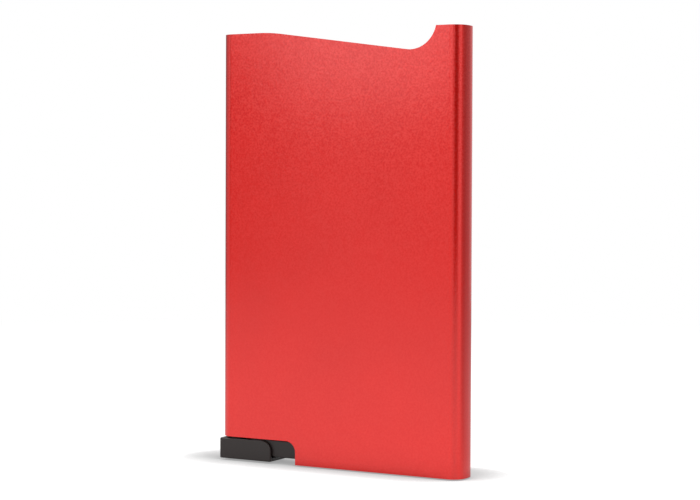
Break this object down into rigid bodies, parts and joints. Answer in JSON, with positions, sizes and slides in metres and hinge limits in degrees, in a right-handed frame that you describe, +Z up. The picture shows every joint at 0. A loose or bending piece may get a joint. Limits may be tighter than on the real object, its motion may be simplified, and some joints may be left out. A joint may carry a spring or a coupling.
{
  "type": "rfid card holder",
  "caption": "Slim aluminium sleeve for bank cards, with a thumb slider that swings a stepped lifting arm and fans the cards out of its mouth.",
  "frame": {"origin": "middle of the footprint, on the plane that the holder stands on", "axes": "+Z up towards the mouth, +X to the right as seen from the front, +Y towards the rear face; the front is at -Y"},
  "size_m": [0.063, 0.008, 0.1],
  "materials": {
    "red_anodised_aluminium": "blasted and anodised red",
    "black_plastic": "moulded, fine texture",
    "steel": "drawn",
    "felt": "pressed felt"
  },
  "bodies": {
    "case": {"sleeve": "red_anodised_aluminium", "base_cap": "black_plastic", "pivot_pin": "steel", "side_rail_left": "black_plastic", "side_rail_right": "black_plastic", "friction_pad_front": "felt", "friction_pad_rear": "felt"},
    "slider": {"thumb_slider": "black_plastic"},
    "lever": {"lift_lever": "black_plastic"}
  },
  "joints": [
    {"name": "slider_slide", "type": "slide", "parent": "case", "child": "slider", "axis": [1, 0, 0], "range_m": [0, 0.00635]},
    {"name": "lever_lift", "type": "hinge", "parent": "case", "child": "lever", "pos_m": [-0.02003, 0, 0.0104], "axis": [0, -1, 0], "range_deg": [0, 45.86]}
  ],
  "couplings": [
    {"joint": "lever_lift", "follows": "slider_slide", "rad_per_m": 126.03}
  ]
}
